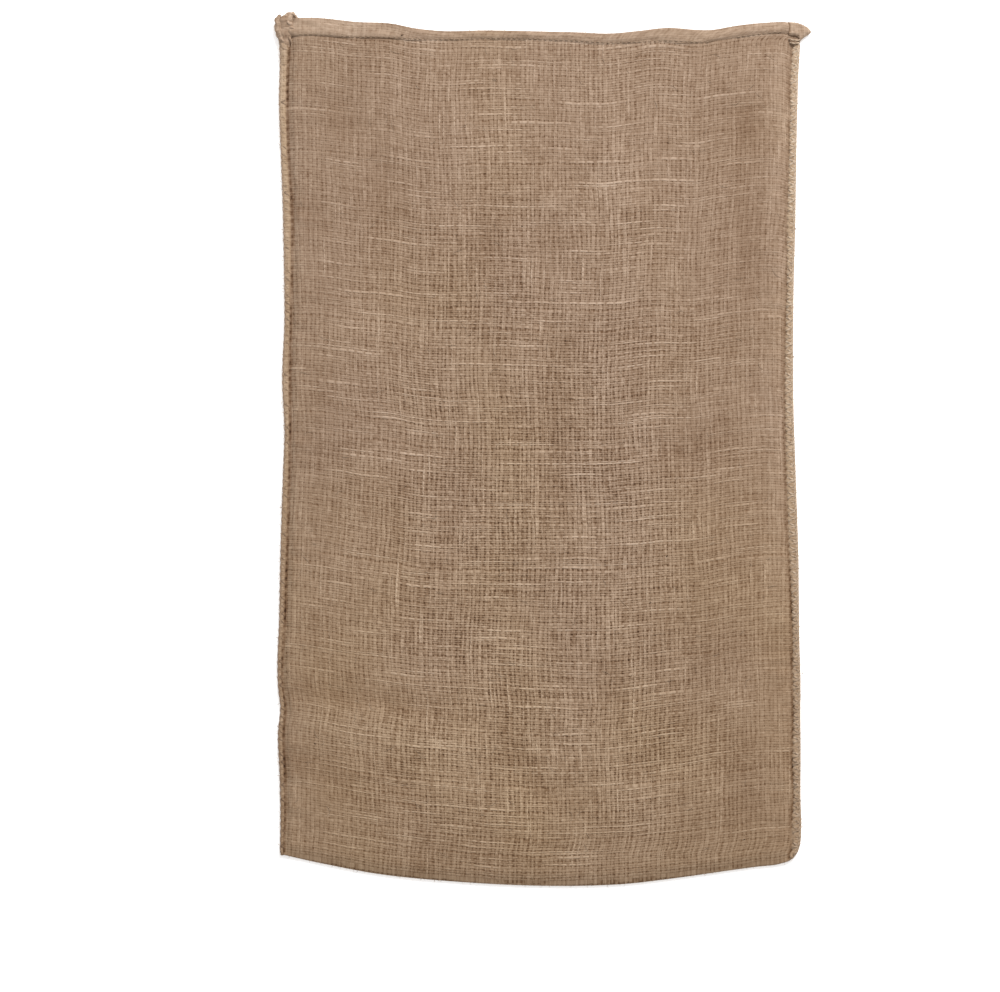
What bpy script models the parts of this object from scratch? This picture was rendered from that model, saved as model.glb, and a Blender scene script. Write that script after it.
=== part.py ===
"""An empty jute sack lying flat on the floor, mouth towards +Y, front ply up.

One length of hessian is folded at the bottom into a back ply and a front ply. Both ends are
turned once to the outside as the mouth hem. Twine overcast round the edges of the two plies
closes the sides. Metres, +Z up, the floor at z = 0, the origin under the middle of the sack.
"""

import math

import bmesh
import bpy

MM = 0.001

# ---------------------------------------------------------------- driving dimensions, in mm
CLOTH_THICK = 1.2  # hessian
LAYER_GAP = 0.3  # air between two layers that lie on each other
TWINE_WALL = 1.5  # thickness of the twine round the edges
LIP = 0.8  # thickness of the twine at the stitch line
EDGE_GAP = 1.0  # air between a cloth edge and the twine round it
LOFT = 12.4  # mid-height of the front ply in the middle of the sack
SEAM_FLAT = 12.0  # strip along each side edge that lies flat in the seam
TUFT_FLAT = 8.0  # how much wider that strip is under the tuft
TUFT_SHARE = 0.25  # share of the sack's width over which the tuft's lift fades
SIDE_SWELL = 95.0  # run over which the front ply rises from a side seam
BOTTOM_SWELL = 115.0  # run over which it rises from the bottom fold
MOUTH_DROP = 1.0  # how much lower the front ply lies at the mouth
MOUTH_DROP_FROM = 380.0  # y at which that drop starts
MOUTH_DROP_RUN = 120.0  # and the run that it takes
BACK_LIFT_RUN = 26.0  # run over which the back ply drops to the floor beside a seam
HEM_STEP_RUN = 24.0  # run over which a ply climbs over the hem or the corner tuft
HEM_CLEAR = 2.0  # how far below a hem's raw edge that climb is over
BACK_SHORT = 3.0  # how much the back mouth edge lies behind the front one

HALF = CLOTH_THICK / 2
PITCH = CLOTH_THICK + LAYER_GAP  # mid to mid of two layers that lie on each other
TURN = PITCH / 2  # radius of a turned edge, at mid-thickness
SLOT_LOW = TWINE_WALL  # underside of the plies' slot in a seam
EDGE_BACK = SLOT_LOW + LAYER_GAP + HALF  # mid-height of the back ply in a seam

# ---------------------------------------------------------------- outlines, in mm
# Left seam, from the bottom up: along y, outer edge x, width to the stitch line.
LEFT_SEAM = (
    (-485.4, -297.3, 5.0),
    (-444.6, -297.1, 5.4),
    (-393.0, -298.3, 6.0),
    (-340.2, -299.9, 6.6),
    (-309.0, -297.3, 6.2),
    (-291.0, -299.4, 6.4),
    (-197.4, -298.8, 7.4),
    (-103.8, -296.9, 8.6),
    (-30.6, -294.5, 8.0),
    (18.6, -292.2, 7.2),
    (79.8, -294.8, 9.8),
    (153.0, -292.5, 8.4),
    (202.0, -292.5, 9.6),
    (252.6, -293.2, 10.8),
    (287.4, -294.1, 10.4),
    (355.8, -297.1, 9.0),
    (413.4, -299.4, 10.0),
    (471.0, -298.3, 11.0),
    (488.0, -299.4, 13.4),
)
# Tuft at the top of the left seam: along y, outer edge x, inner edge x, height.
LEFT_TUFT = (
    (495.0, -302.0, -282.5, 10.2),
    (502.0, -304.2, -279.5, 11.2),
    (509.0, -304.6, -278.5, 12.0),
    (515.4, -303.0, -278.8, 12.0),
    (516.4, -301.4, -279.4, 11.6),
    (519.0, -296.2, -281.2, 9.8),
    (521.4, -291.0, -283.0, 7.6),
)
# Right seam, from the bottom up: along y, outer edge x, width to the stitch line.
RIGHT_SEAM = (
    (-489.5, 289.5, 5.6),
    (-485.0, 293.4, 7.4),
    (-479.0, 296.4, 9.0),
    (-471.0, 298.3, 10.2),
    (-453.0, 299.4, 11.4),
    (-418.2, 298.3, 8.2),
    (-366.6, 298.0, 9.6),
    (-315.0, 298.3, 8.6),
    (-275.4, 298.3, 9.6),
    (-237.0, 297.1, 8.4),
    (-171.0, 296.0, 9.4),
    (-132.6, 296.0, 11.0),
    (-78.6, 294.5, 10.8),
    (-24.0, 292.5, 10.2),
    (55.8, 290.2, 9.8),
    (153.0, 290.2, 8.2),
    (202.2, 291.4, 7.4),
    (252.6, 292.5, 9.0),
    (333.0, 293.7, 7.6),
    (401.4, 294.5, 6.6),
    (448.2, 296.0, 8.0),
    (484.6, 298.3, 8.2),
)
# Mouth edge of the front ply: across x, along y, hem width.
MOUTH = (
    (-299.0, 514.4, 22.0),
    (-257.0, 514.0, 22.0),
    (-212.0, 508.6, 20.0),
    (-168.0, 505.8, 18.0),
    (-146.0, 500.8, 15.0),
    (-120.0, 497.8, 12.6),
    (-58.0, 498.4, 11.4),
    (0.0, 497.2, 11.4),
    (44.0, 496.0, 12.4),
    (87.0, 495.0, 13.4),
    (110.0, 497.4, 14.6),
    (149.0, 501.4, 17.4),
    (176.0, 499.0, 17.0),
    (198.0, 498.6, 16.4),
    (220.0, 502.8, 16.2),
    (262.0, 508.6, 14.6),
    (286.0, 509.6, 13.6),
    (297.0, 508.2, 13.0),
    (306.0, 503.8, 12.0),
    (310.6, 499.8, 10.8),
)
EAR_TIP = 310.6  # x of the tip of the hem's ear at the right corner
EAR_ROOT = 485.6  # y at which the cloth's edge starts out towards that tip
EAR_RISE = 12.2  # how much further up the tip lies
# Bottom fold: across x, along y.
BOTTOM = (
    (-297.0, -485.4),
    (-244.0, -497.2),
    (-195.0, -507.0),
    (-95.0, -517.8),
    (0.0, -522.6),
    (50.0, -522.6),
    (100.0, -520.2),
    (149.0, -514.2),
    (249.0, -499.8),
    (274.0, -496.9),
    (285.0, -491.2),
    (291.0, -484.0),
)
# Outside of a seam's section, from its inner lip underneath round to its inner lip on top:
# share of the width in from the outer edge, share of the height.
SEAM_PROFILE = (
    (0.86, 0.0),
    (0.50, 0.0),
    (0.26, 0.0),
    (0.08, 0.16),
    (0.0, 0.42),
    (0.06, 0.76),
    (0.26, 0.95),
    (0.50, 1.0),
    (0.80, 0.94),
)
# Soft troughs (-) and ridges (+) of the front ply: start x, y, end x, y, half width, height.
CREASES = (
    (235.0, 407.0, 238.0, 125.0, 20.0, -2.6),
    (-232.0, 425.0, -214.0, 370.0, 17.0, -1.8),
    (-184.0, 340.0, -177.0, 262.0, 17.0, -1.8),
    (115.0, 480.0, 150.0, 400.0, 18.0, -1.5),
    (152.0, -12.0, 205.0, 20.0, 22.0, -2.4),
    (-296.0, -299.0, -120.0, -322.0, 15.0, -2.6),
    (-290.0, -322.0, -60.0, -360.0, 18.0, 2.2),
    (-296.0, -361.0, -236.0, -370.0, 14.0, -2.4),
    (-25.0, -365.0, 72.0, -424.0, 18.0, -2.2),
    (229.0, -345.0, 226.0, -445.0, 17.0, -2.2),
    (78.0, -250.0, 92.0, -305.0, 17.0, -1.8),
    (-126.0, 8.0, 70.0, 52.0, 20.0, -1.4),
)
# Broad waves of the front ply: length across x, length along y, phase, height.
WAVES = (
    (410.0, 900.0, 0.6, 0.55),
    (190.0, 640.0, 2.1, 0.40),
    (150.0, -330.0, 4.0, 0.30),
)

# ---------------------------------------------------------------- mesh steps, in mm or counts
EDGE_COLUMNS = (0.0, 6.0, 12.0, 19.0, 28.0, 40.0, 57.0)  # distances from each side edge
MIDDLE_COLUMNS = 18
BACK_ROWS = 20
FRONT_ROWS = 34
FOLD_STEP = 9.0  # first step past the bottom fold
HEM_ROWS = 2
CLIMB_ROWS = 2
TURN_STEPS = 4
SLOT_AHEAD = 9.0  # how far ahead of the lifting layers a seam's slot opens
EAR_STEP = 4.2  # last step below the hem's raw edge
SEAM_STEP = 17.0  # longest step along a seam


def smooth(value):
    """Eases from 0 to 1 as value goes from 0 to 1."""
    held = min(max(value, 0.0), 1.0)
    return held * held * (3 - 2 * held)


def swell(distance, run):
    """Rises steeply at first and levels out at run."""
    held = min(max(distance / run, 0.0), 1.0)
    return 1 - (1 - held) ** 2


def along(table, key, column):
    """Reads a table's column at key, with an eased curve between its rows."""
    if key <= table[0][0]:
        return table[0][column]
    for low, high in zip(table, table[1:]):
        if key <= high[0]:
            share = (key - low[0]) / (high[0] - low[0])
            return low[column] + (high[column] - low[column]) * smooth(share)
    return table[-1][column]


def left_edge(y):
    """x of the cloth's left edge, just inside the twine."""
    return along(LEFT_SEAM, y, 1) + TWINE_WALL + EDGE_GAP


def right_edge(y):
    """x of the cloth's right edge: inside the twine, and out to the ear's tip above it."""
    edge = along(RIGHT_SEAM, y, 1) - TWINE_WALL - EDGE_GAP
    return edge + (EAR_TIP - edge) * smooth((y - EAR_ROOT) / EAR_RISE)


class Column:
    """One line of the cloth from its back hem, round the bottom fold, to its front hem."""

    def __init__(self, share):
        self.share = share
        mouth_x = self.x(MOUTH[-1][1])
        self.mouth = along(MOUTH, mouth_x, 1)
        self.hem = along(MOUTH, mouth_x, 2)
        self.bottom = along(BOTTOM, self.x(BOTTOM[0][1]), 1)

    def x(self, y):
        return left_edge(y) + (right_edge(y) - left_edge(y)) * self.share

    def past_left(self, y):
        """Distance in from the strip that lies flat in the left seam."""
        return self.x(y) - left_edge(y) - SEAM_FLAT - TUFT_FLAT * tuft_lift(y)

    def past_right(self, y):
        """Distance in from the strip that lies flat in the right seam."""
        return right_edge(y) - self.x(y) - SEAM_FLAT

    def over_hem(self, y, mouth):
        """0 on the floor, 1 where the back ply lies on its turned hem."""
        foot = mouth - self.hem - HEM_CLEAR - HEM_STEP_RUN
        return smooth((y - foot) / HEM_STEP_RUN)

    def back_z(self, y):
        """Mid-height of the back ply."""
        by_left = 1 - smooth(self.past_left(y) / BACK_LIFT_RUN)
        by_right = 1 - smooth(self.past_right(y) / BACK_LIFT_RUN)
        lift = EDGE_BACK - HALF
        plain = HALF + lift * (by_left + by_right)
        on_hem = self.back_hem_z(y) + PITCH
        return plain + (on_hem - plain) * self.over_hem(y, self.mouth - BACK_SHORT)

    def back_hem_z(self, y):
        """Mid-height of the back hem, which lies under the back ply."""
        by_left = 1 - smooth(self.past_left(y) / BACK_LIFT_RUN)
        by_right = 1 - smooth(self.past_right(y) / BACK_LIFT_RUN)
        lift = EDGE_BACK - HALF
        return HALF + lift * by_left + (lift - PITCH) * by_right

    def front_z(self, y):
        """Mid-height of the front ply."""
        seated = seam_front(self.share, y)
        free = (
            swell(self.past_left(y), SIDE_SWELL)
            * swell(self.past_right(y), SIDE_SWELL)
            * swell(y - self.bottom, BOTTOM_SWELL)
        )
        x = self.x(y)
        top = LOFT - MOUTH_DROP * smooth((y - MOUTH_DROP_FROM) / MOUTH_DROP_RUN) + relief(x, y)
        return seated + (top - seated) * free


def tuft_lift(y):
    """How far the layers in the left seam open to take the hem's four layers."""
    foot = MOUTH[0][1] - MOUTH[0][2] - HEM_CLEAR - HEM_STEP_RUN
    return smooth((y - foot) / HEM_STEP_RUN)


def seam_front(share, y):
    """Mid-height of the front ply in the seams, higher at the tuft and eased across the sack."""
    near_tuft = 1 - smooth(share / TUFT_SHARE)
    return EDGE_BACK + PITCH + PITCH * tuft_lift(y) * near_tuft


def relief(x, y):
    """Height of the soft folds at a point of the front ply."""
    height = 0.0
    for length_x, length_y, phase, size in WAVES:
        height += size * math.sin(math.tau * (x / length_x + y / length_y) + phase)
    for x0, y0, x1, y1, half_width, size in CREASES:
        run = math.hypot(x1 - x0, y1 - y0)
        way_x = (x1 - x0) / run
        way_y = (y1 - y0) / run
        ahead = (x - x0) * way_x + (y - y0) * way_y
        aside = (x - x0) * way_y - (y - y0) * way_x
        past = max(-ahead, ahead - run, 0.0)
        height += size * math.exp(-((aside / half_width) ** 2) - (past / half_width) ** 2)
    return height


def turned(y_end, z_from, z_to, way):
    """Mid-thickness points round a fold whose outside reaches y_end, facing way (+1 or -1)."""
    radius = abs(z_to - z_from) / 2
    centre_y = y_end - way * (radius + HALF)
    centre_z = (z_from + z_to) / 2
    points = []
    for step in range(TURN_STEPS + 1):
        angle = math.pi * step / TURN_STEPS
        y = centre_y + way * radius * math.sin(angle)
        points.append((y, centre_z - (z_to - z_from) / 2 * math.cos(angle)))
    return points


def stepped(start, end, count):
    """count values strictly between start and end."""
    return [start + (end - start) * step / (count + 1) for step in range(1, count + 1)]


def section(column):
    """The cloth's mid-thickness line as (y, z): back hem, back ply, front ply, front hem."""
    back_mouth = column.mouth - BACK_SHORT
    turn_y = back_mouth - TURN - HALF
    raw_y = back_mouth - column.hem
    points = [(y, column.back_hem_z(y)) for y in [raw_y, *stepped(raw_y, turn_y, HEM_ROWS)]]
    points += turned(back_mouth, column.back_hem_z(turn_y), column.back_z(turn_y), 1)

    fold_low = column.back_z(column.bottom)
    fold_high = column.front_z(column.bottom)
    fold_y = column.bottom + HALF + (fold_high - fold_low) / 2
    clear_y = raw_y - HEM_CLEAR
    foot_y = clear_y - HEM_STEP_RUN
    levels = [raw_y, clear_y, *stepped(clear_y, foot_y, CLIMB_ROWS), foot_y]
    levels += stepped(foot_y, fold_y, BACK_ROWS)
    points += [(y, column.back_z(y)) for y in levels]
    points += turned(column.bottom, fold_low, fold_high, -1)

    turn_y = column.mouth - TURN - HALF
    raw_y = column.mouth - column.hem
    near_y = fold_y + FOLD_STEP
    under_y = raw_y - EAR_STEP
    levels = [near_y, *stepped(near_y, under_y, FRONT_ROWS), under_y, raw_y]
    levels += stepped(raw_y, turn_y, HEM_ROWS)
    points += [(y, column.front_z(y)) for y in levels]
    hem_z = column.front_z(turn_y)
    points += turned(column.mouth, hem_z, hem_z + PITCH, 1)
    levels = [*reversed(stepped(raw_y, turn_y, HEM_ROWS)), raw_y]
    points += [(y, column.front_z(y) + PITCH) for y in levels]
    return points


def material(name, colour, roughness):
    """A plain Principled material with the piece's own colour."""
    made = bpy.data.materials.new(name)
    made.use_nodes = True
    shader = made.node_tree.nodes["Principled BSDF"]
    shader.inputs["Base Color"].default_value = (*colour, 1.0)
    shader.inputs["Roughness"].default_value = roughness
    shader.inputs["Metallic"].default_value = 0.0
    made.diffuse_color = (*colour, 1.0)
    return made


def add_object(name, shape, finish):
    """Makes an object of a bmesh, smooth but for its sharp edges."""
    mesh = bpy.data.meshes.new(name)
    shape.to_mesh(mesh)
    shape.free()
    mesh.materials.append(finish)
    mesh.shade_smooth()
    mesh.set_sharp_from_angle(angle=math.radians(50))
    made = bpy.data.objects.new(name, mesh)
    bpy.context.scene.collection.objects.link(made)
    return made


def make_cloth(finish):
    """The sack's cloth as one sheet, thickened to both sides of its mid-thickness."""
    width = right_edge(0.0) - left_edge(0.0)
    edge_shares = [distance / width for distance in EDGE_COLUMNS]
    middle = stepped(edge_shares[-1], 1 - edge_shares[-1], MIDDLE_COLUMNS)
    shares = [*edge_shares, *middle, *(1 - share for share in reversed(edge_shares))]

    shape = bmesh.new()
    rows = []
    for share in shares:
        column = Column(share)
        rows.append(
            [shape.verts.new((column.x(y) * MM, y * MM, z * MM)) for y, z in section(column)]
        )
    for left, right in zip(rows, rows[1:]):
        for step in range(len(left) - 1):
            shape.faces.new((left[step], left[step + 1], right[step + 1], right[step]))
    cloth = add_object("sack_cloth", shape, finish)
    thicken = cloth.modifiers.new("thickness", "SOLIDIFY")
    thicken.thickness = CLOTH_THICK * MM
    thicken.offset = 0.0
    thicken.use_even_offset = True
    thicken.use_quality_normals = True
    return cloth


def seam_ring(outer, inner, slot_end, slot_high, height):
    """A seam's section as (x, z): twine round the outside of a slot that opens inwards."""
    outside = [(outer + (inner - outer) * share, height * rise) for share, rise in SEAM_PROFILE]
    return (
        (inner, SLOT_LOW),
        (inner, SLOT_LOW - LIP),
        *outside,
        (inner, slot_high + LIP),
        (inner, slot_high),
        (slot_end, slot_high),
        (slot_end, SLOT_LOW),
    )


def levels_along(table):
    """The table's own levels, with steps between those that are far apart."""
    levels = [table[0][0]]
    for low, high in zip(table, table[1:]):
        steps = max(1, math.ceil((high[0] - low[0]) / SEAM_STEP))
        levels += [low[0] + (high[0] - low[0]) * step / steps for step in range(1, steps + 1)]
    return levels


def plain_rings(table, way, lift):
    """Rings of a seam along its table; way is +1 where the cloth lies at larger x."""
    slot_height = 2 * CLOTH_THICK + 3 * LAYER_GAP
    rings = []
    for y in levels_along(table):
        outer = along(table, y, 1)
        inner = outer + way * along(table, y, 2)
        slot_high = SLOT_LOW + slot_height + 2 * PITCH * lift(y + SLOT_AHEAD)
        slot_end = outer + way * TWINE_WALL
        rings.append((y, seam_ring(outer, inner, slot_end, slot_high, slot_high + TWINE_WALL)))
    return rings


def make_seam(name, rings, finish):
    """One closed solid through all the rings, with both ends capped."""
    shape = bmesh.new()
    made = [[shape.verts.new((x * MM, y * MM, z * MM)) for x, z in ring] for y, ring in rings]
    for low, high in zip(made, made[1:]):
        for step in range(len(low)):
            following = (step + 1) % len(low)
            shape.faces.new((low[step], low[following], high[following], high[step]))
    shape.faces.new(made[0])
    shape.faces.new(made[-1])
    bmesh.ops.recalc_face_normals(shape, faces=shape.faces)
    return add_object(name, shape, finish)


def tuft_rings():
    """Rings of the tuft at the left mouth corner, round the hem's end and over its top."""
    slot_high = SLOT_LOW + 4 * CLOTH_THICK + 5 * LAYER_GAP
    rings = []
    for y, outer, inner, height in LEFT_TUFT:
        past_mouth = y > MOUTH[0][1] + EDGE_GAP
        slot_end = inner - LIP if past_mouth else along(LEFT_SEAM, y, 1) + TWINE_WALL
        high = min(slot_high, height - TWINE_WALL)
        rings.append((y, seam_ring(outer, inner, slot_end, high, height)))
    return rings


def main():
    for old in list(bpy.data.objects):
        bpy.data.objects.remove(old)
    hessian = material("hessian", (0.34, 0.225, 0.145), 0.92)
    twine = material("twine", (0.42, 0.31, 0.2), 0.9)
    make_cloth(hessian)
    left = plain_rings(LEFT_SEAM, 1, tuft_lift)
    make_seam("side_seam_left", left + tuft_rings(), twine)
    right = plain_rings(RIGHT_SEAM, -1, lambda y: 0.0)
    make_seam("side_seam_right", right, twine)


main()
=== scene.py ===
import math

import bpy
import numpy as np
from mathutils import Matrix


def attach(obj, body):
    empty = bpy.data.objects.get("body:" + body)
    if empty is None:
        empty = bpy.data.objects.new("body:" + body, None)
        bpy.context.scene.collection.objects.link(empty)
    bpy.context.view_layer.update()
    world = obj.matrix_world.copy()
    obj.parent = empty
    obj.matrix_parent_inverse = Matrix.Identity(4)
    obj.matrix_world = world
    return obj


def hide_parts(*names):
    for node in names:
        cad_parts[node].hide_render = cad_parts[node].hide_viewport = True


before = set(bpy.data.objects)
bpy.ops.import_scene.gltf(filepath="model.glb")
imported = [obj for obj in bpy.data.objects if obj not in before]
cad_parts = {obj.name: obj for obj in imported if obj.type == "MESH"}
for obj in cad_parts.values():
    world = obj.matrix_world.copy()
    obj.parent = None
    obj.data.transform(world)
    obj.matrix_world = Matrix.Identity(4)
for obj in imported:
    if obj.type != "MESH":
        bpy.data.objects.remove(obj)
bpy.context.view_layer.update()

# ------------------------------------------------------------------ camera
# A very long lens over the foot of the sack, turned down by 73 degrees, so that the sack lies
# almost square to it. The sack's middle falls right of the middle of the image and above it.
MM = 0.001
ELEVATION = math.radians(73.4)
LENS = 1400.0
SENSOR = 36.0
IMAGE_WIDTH = 1000
MM_PER_PIXEL = 1.147
ASIDE = -40.2 * MM_PER_PIXEL * MM
BELOW = -47.7 * MM_PER_PIXEL * MM
reach = LENS / SENSOR * IMAGE_WIDTH * MM_PER_PIXEL * MM


def placed(name, data):
    """A new object with this data, in the scene."""
    made = bpy.data.objects.new(name, data)
    bpy.context.scene.collection.objects.link(made)
    return made


camera_data = bpy.data.cameras.new("camera")
camera_data.lens = LENS
camera_data.sensor_width = SENSOR
camera_data.clip_start = reach * 0.5
camera_data.clip_end = reach * 2
camera = placed("camera", camera_data)
bpy.context.scene.camera = camera
camera.rotation_euler = (math.pi / 2 - ELEVATION, 0, 0)
camera.location = (
    ASIDE,
    BELOW * math.sin(ELEVATION) - reach * math.cos(ELEVATION),
    BELOW * math.cos(ELEVATION) + reach * math.sin(ELEVATION),
)
bpy.context.scene.view_settings.view_transform = "Standard"

# ------------------------------------------------------------------ floor and light
# A plain white studio floor under an even white light. A broad lamp from beyond the mouth, a
# little to the right, makes the folds show.
FLOOR_SIZE = 12.0
FLOOR_Z = -0.0003
FLOOR_WHITE = 0.9
FLOOR_GLOW = 0.45
FLOOR_ROUGHNESS = 0.9
FLOOR_SPECULAR = 0.1
ROOM_LIGHT = 0.60
LAMP_POWER = 420.0
LAMP_SIZE = 3.2
LAMP_AT = (1.8, 4.0, 4.0)


def set_inputs(node, values):
    for key, value in values.items():
        node.inputs[key].default_value = value


floor_mesh = bpy.data.meshes.new("floor")
half_side = FLOOR_SIZE / 2
corners = [
    (x * half_side, y * half_side, FLOOR_Z) for x, y in ((-1, -1), (1, -1), (1, 1), (-1, 1))
]
floor_mesh.from_pydata(corners, [], [(0, 1, 2, 3)])
floor = placed("floor", floor_mesh)
floor_finish = bpy.data.materials.new("floor_white")
floor_finish.use_nodes = True
floor_looks = {
    "Base Color": (FLOOR_WHITE, FLOOR_WHITE, FLOOR_WHITE, 1),
    "Roughness": FLOOR_ROUGHNESS,
    "Specular IOR Level": FLOOR_SPECULAR,
    "Emission Color": (1, 1, 1, 1),
    "Emission Strength": FLOOR_GLOW,
}
set_inputs(floor_finish.node_tree.nodes["Principled BSDF"], floor_looks)
floor_mesh.materials.append(floor_finish)

room = bpy.data.worlds.new("room")
room.use_nodes = True
room_looks = {"Color": (1, 1, 1, 1), "Strength": ROOM_LIGHT}
set_inputs(room.node_tree.nodes["Background"], room_looks)
bpy.context.scene.world = room
lamp_data = bpy.data.lights.new("lamp", "AREA")
lamp_data.energy = LAMP_POWER
lamp_data.size = LAMP_SIZE
lamp = placed("lamp", lamp_data)
lamp.location = LAMP_AT
lamp_from = math.hypot(LAMP_AT[0], LAMP_AT[1])
lamp.rotation_euler = (0, math.atan2(lamp_from, LAMP_AT[2]), math.atan2(LAMP_AT[1], LAMP_AT[0]))

# ------------------------------------------------------------------ sack cloth
# One length of hessian, 59 cm wide and about 2 m long, folded at the bottom into a back ply and
# a front ply. It is a plain weave of paired warp yarns along the sack and single weft yarns
# across it, undyed, uneven and slubby. Both ends are turned outside once as the mouth hem.
# Lengths here are in millimetres.
CLOTH_THICK = 1.2
HALF = CLOTH_THICK / 2
# From the middle of one layer to that of the next one, where they touch.
PITCH = 1.5
TURN = PITCH / 2
CLOTH_WIDTH = 586.0
FRONT_LENGTH = 1012.0
# At the seams: the back ply's middle, and the twine beyond the cloth's own edge.
EDGE_BACK = 2.4
IN_TWINE = 2.5
# The front ply's height in its middle, and how it rises from the seams and the bottom fold.
LOFT = 12.4
PUFF = 2.3
PUFF_RUN = 9.0
BOTTOM_PUFF_RUN = 14.0
FREE_FROM = 2.0
SIDE_SWELL = 95.0
BOTTOM_SWELL = 115.0
# Towards the mouth it sinks by 1 mm.
SINK_FROM = 380
SINK_RUN = 120
# The back ply comes down to the floor from the seams, and steps up over its own hem.
BACK_LIFT_RUN = 26.0
STEP_RUN = 24.0
BACK_SHORT = 3.0
# The seams' stitches: their spacing, how it drifts along each seam, and how they nip its roll.
STITCH = 9.3
DRIFT_RUN = 61.0
LEFT_DRIFT = 1.1
RIGHT_DRIFT = 2.0
ROLL_NARROWER = 1.4
LEFT_SCALLOP = 0.8
RIGHT_SCALLOP = 2.2
# How the stitches pull the front ply down and pucker it.
PULL_RUN = 5.5
PULL_RISE = 0.25
PULL_DEPTH = 0.7
PUCKER = 0.42
PUCKER_RUN = 26.0
PUCKER_FROM = 9.0
# Painted shading: shade in the troughs, light on the ridges and by the left seam.
# Painted shade too in the seam grooves, darkest where each stitch goes in.
FOLD_PAINTED_SHADING = 0.125
LEFT_PAINTED_LIGHT = 0.08
LEFT_PAINTED_LIGHT_RUN = 20.0
LEFT_GROOVE_SHADE = 0.84
RIGHT_GROOVE_SHADE = 0.56
GROOVE_SHADE_AT = 0.2
GROOVE_SHADE_RUN = 1.6

# Left seam, from the bottom up: along y, outer edge x, width to the stitch line.
LEFT_SEAM = (
    (-485.4, -297.3, 5.4), (-444.6, -296.7, 6.2), (-393, -297.6, 6.8), (-340.2, -299.5, 7.2),
    (-309, -297.1, 6.6), (-291, -299.2, 6.4), (-197.4, -298.3, 7.4), (-103.8, -296.6, 8.6),
    (-30.6, -294.3, 8), (18.6, -292.8, 7.4), (79.8, -295.4, 9.8), (153, -293, 8.4),
    (202, -293.4, 9.8), (252.6, -294.3, 11.4), (287.4, -295.1, 11.4), (355.8, -297.6, 9.8),
    (413.4, -299.6, 10.6), (471, -299, 11.4), (488, -299.8, 13.6),
)
# Right seam, from the bottom up: along y, outer edge x, width to the stitch line.
RIGHT_SEAM = (
    (-489.5, 289.5, 5.8), (-485, 293, 7.6), (-479, 295.7, 9.2), (-471, 297.5, 10.4),
    (-453, 298.4, 11.8), (-418.2, 297.7, 8.9), (-366.6, 298, 10.5), (-315, 297.8, 9),
    (-275.4, 298, 10), (-237, 297, 8.8), (-171, 296.3, 9.8), (-132.6, 296, 11.8),
    (-78.6, 294.5, 12.2), (-24, 292.8, 12), (55.8, 290.6, 11), (153, 290.6, 9.4),
    (202.2, 291.4, 8.8), (252.6, 292.9, 10.6), (333, 294.3, 9.7), (401.4, 295.7, 9.1),
    (448.2, 297.2, 10.2), (484.6, 299.4, 9.4),
)
# Mouth edge of the front ply: across x, along y, hem width.
MOUTH = (
    (-299, 514.4, 22), (-257, 514, 22), (-212, 508.6, 20), (-168, 505.8, 18), (-146, 500.8, 15),
    (-120, 497.8, 12.6), (-58, 498.4, 11.4), (0, 497.2, 11.4), (44, 496, 12.4), (87, 495, 13.4),
    (110, 497.4, 14.6), (149, 501.4, 17.4), (176, 499, 17), (198, 498.6, 16.4), (220, 502.8, 16.2),
    (262, 508.6, 14.6), (286, 509.6, 13.6), (297, 508.2, 13), (306, 503.8, 12),
    (310.6, 499.8, 10.8),
)
# The front hem: across x, how plainly its raw edge shows, its shade.
HEM_LINE = (
    (-299, 0.9, 1.36), (-230, 1.1, 1.46), (-165, 1.1, 1.24), (-148, 0.1, 1.2), (-110, 0.5, 1.24),
    (-60, 0.6, 1.27), (0, 0.4, 1.27), (60, 0.1, 1.25), (110, 0.5, 1.25), (150, 0.3, 1.28),
    (175, 0.9, 1.3), (215, 0.9, 1.34), (235, 0.4, 1.34), (262, 0.9, 1.36), (297, 1, 1.36),
)
EAR_TIP = 310.6
EAR_ROOT = 485.6
EAR_RISE = 12.2
# Bottom fold: across x, along y.
BOTTOM = (
    (-297, -485.4), (-244, -497.2), (-195, -507), (-95, -517.8), (0, -522.6), (50, -522.6),
    (100, -520.2), (149, -514.2), (249, -499.8), (274, -496.7), (285, -492.9), (291, -488.2),
)
# Soft troughs (-) and ridges (+) of the front ply: start x, y, end x, y, half width, height.
CREASES = (
    (235, 400, 237, 190, 20, -1), (236, 398, 237, 380, 17, -1), (237, 280, 237, 262, 16, -0.3),
    (-228, 408, -224, 388, 19, -1.1), (-180, 335, -178, 270, 17, -1.2),
    (-275, 285, -262, 272, 20, -1.2), (-62, 254, -42, 222, 16, -0.8), (9, 255, 12, 55, 15, -0.6),
    (18, 20, 22, -75, 15, -0.7), (124, 262, 124, 240, 16, -0.5), (-94, 320, -94, 292, 14, -0.4),
    (-75, -18, -74, -30, 18, -0.5), (162, -4, 204, 5, 28, -1.3), (130, 52, 160, 40, 24, -0.6),
    (-290, 8, -284, -14, 22, -0.8), (-156, -85, -156, -130, 14, -0.5),
    (-131, -195, -131, -215, 14, -0.5), (-126, 8, 70, 52, 25, -0.3),
    (170, -235, 168, -285, 40, -0.8), (78, -262, 88, -300, 20, -1), (35, -240, 36, -285, 20, -0.6),
    (-290, -290, -120, -313, 16, -1.2), (-142, -266, -140, -284, 20, -0.5),
    (-255, -319, -95, -362, 24, 1.1), (-292, -372, -232, -398, 20, -1.2),
    (-28, -368, 12, -412, 20, -1.1), (233, -364, 231, -445, 21, -1), (86, 338, 87, 306, 24, 1),
    (80, 465, 84, 350, 15, 0.4), (172, 430, 166, 405, 26, 0.5), (-69, 358, -68, 340, 28, 0.5),
    (-219, 144, -215, 132, 30, 0.9), (78, 88, 80, 70, 26, 0.8), (-20, -86, -18, -100, 20, 0.6),
    (277, 462, 271, -200, 15, 0.9), (75, -210, 75, -224, 25, 0.6), (100, -414, 102, -427, 20, 0.6),
    (-212, -138, -212, -190, 50, 0.6),
)
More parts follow.
